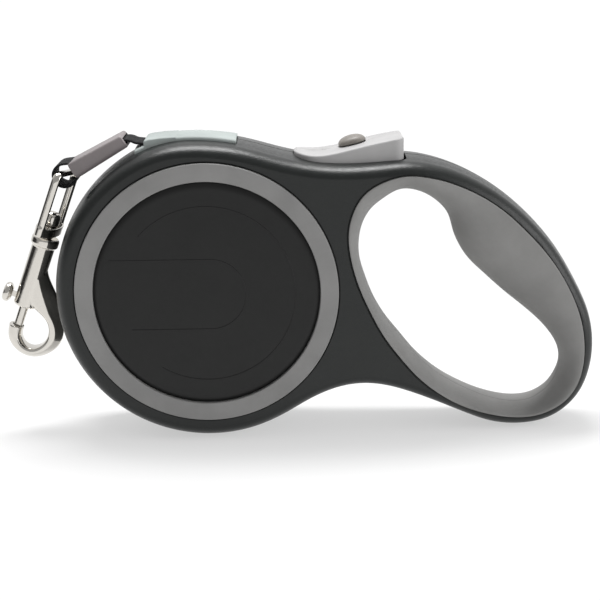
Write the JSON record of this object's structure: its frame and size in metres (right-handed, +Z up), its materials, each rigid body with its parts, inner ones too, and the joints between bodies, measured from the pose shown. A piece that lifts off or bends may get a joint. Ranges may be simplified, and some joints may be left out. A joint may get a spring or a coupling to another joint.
{
  "type": "retractable tape leash",
  "caption": "Retractable dog leash: round drum with a sprung tape reel, looped grip handle, thumb brake with slide lock, guided tape outlet and swivel snap hook.",
  "frame": {"origin": "middle of the bounding box in X and Y, at its lowest point in Z: the leash stands on its drum and the end of its handle", "axes": "+X from the hook to the handle, +Y across the thickness, away from the near face, +Z up to the tape outlet and the brake button"},
  "size_m": [0.2091, 0.038, 0.1061],
  "materials": {
    "shell": "satin black ABS with a fine sparkle grain",
    "disc": "satin black ABS cap",
    "trim": "mid-grey satin plastic ring",
    "grip": "grey soft-touch rubber",
    "outlet": "pale grey satin plastic",
    "button": "light grey satin plastic",
    "lock": "mid-grey satin plastic",
    "sleeve": "grey soft moulded sleeve",
    "tape": "woven black nylon tape",
    "chrome": "bright plated zinc casting",
    "steel": "plain steel",
    "nylon": "off-white moulded nylon"
  },
  "bodies": {
    "housing": {"shell_near": "shell", "shell_far": "shell", "grip_liner_near": "grip", "grip_liner_far": "grip", "trim_ring_near": "trim", "trim_ring_far": "trim", "side_disc_near": "disc", "side_disc_far": "disc", "screw_front": "steel", "screw_lower_front": "steel", "screw_lower_rear": "steel", "screw_neck": "steel", "outlet_strip": "outlet", "axle_post": "steel", "roller_pin": "steel", "button_pin": "steel", "tape_lead": "tape", "button_spring": "steel"},
    "reel": {"spool": "nylon", "spring_cup": "nylon", "spring_cover": "nylon", "wound_tape": "tape", "spiral_spring": "steel"},
    "roller": {"guide_roller": "nylon"},
    "tape": {"tape_end": "tape", "tape_sleeve": "sleeve"},
    "button": {"brake_button": "button", "brake_pawl": "nylon"},
    "lock": {"lock_knob": "lock"},
    "eye": {"swivel_eye": "chrome"},
    "hook": {"swivel_stud": "chrome", "hook_body": "chrome", "plunger_spring": "steel"},
    "plunger": {"plunger_rod": "chrome", "thumb_knob": "chrome"}
  },
  "joints": [
    {"name": "tape_pull", "type": "slide", "parent": "housing", "child": "tape", "axis": [-0.9936, 0, 0.1132], "range_m": [0, 0.02786], "stiffness_N_per_m": 40, "springref_m": -0.1},
    {"name": "reel_spin", "type": "hinge", "parent": "housing", "child": "reel", "pos_m": [-0.0313, 0, 0.053], "axis": [0, -1, 0], "range_deg": [0, 41]},
    {"name": "roller_spin", "type": "hinge", "parent": "housing", "child": "roller", "pos_m": [-0.0183, 0, 0.09655], "axis": [0, -1, 0], "continuous": true},
    {"name": "brake_press", "type": "hinge", "parent": "housing", "child": "button", "pos_m": [0.0027, 0, 0.0916], "axis": [0, 1, 0], "range_deg": [0, 4.5], "stiffness_Nm_per_rad": 0.6, "springref_deg": -5.73, "deforming": ["button_spring"]},
    {"name": "lock_slide", "type": "slide", "parent": "button", "child": "lock", "axis": [-0.9724, 0, -0.2334], "range_m": [0, 0.003]},
    {"name": "eye_swing", "type": "hinge", "parent": "tape", "child": "eye", "pos_m": [-0.0793, 0, 0.0926], "axis": [0, 1, 0], "range_deg": [0, 120]},
    {"name": "hook_swivel", "type": "hinge", "parent": "eye", "child": "hook", "pos_m": [-0.0793, 0, 0.0926], "axis": [0.3502, 0, 0.9367], "continuous": true},
    {"name": "gate_slide", "type": "slide", "parent": "hook", "child": "plunger", "axis": [0.3502, 0, 0.9367], "range_m": [0, 0.009], "stiffness_N_per_m": 180, "springref_m": -0.01, "deforming": ["plunger_spring"]}
  ],
  "couplings": [
    {"joint": "reel_spin", "follows": "tape_pull", "rad_per_m": 25.06}
  ]
}
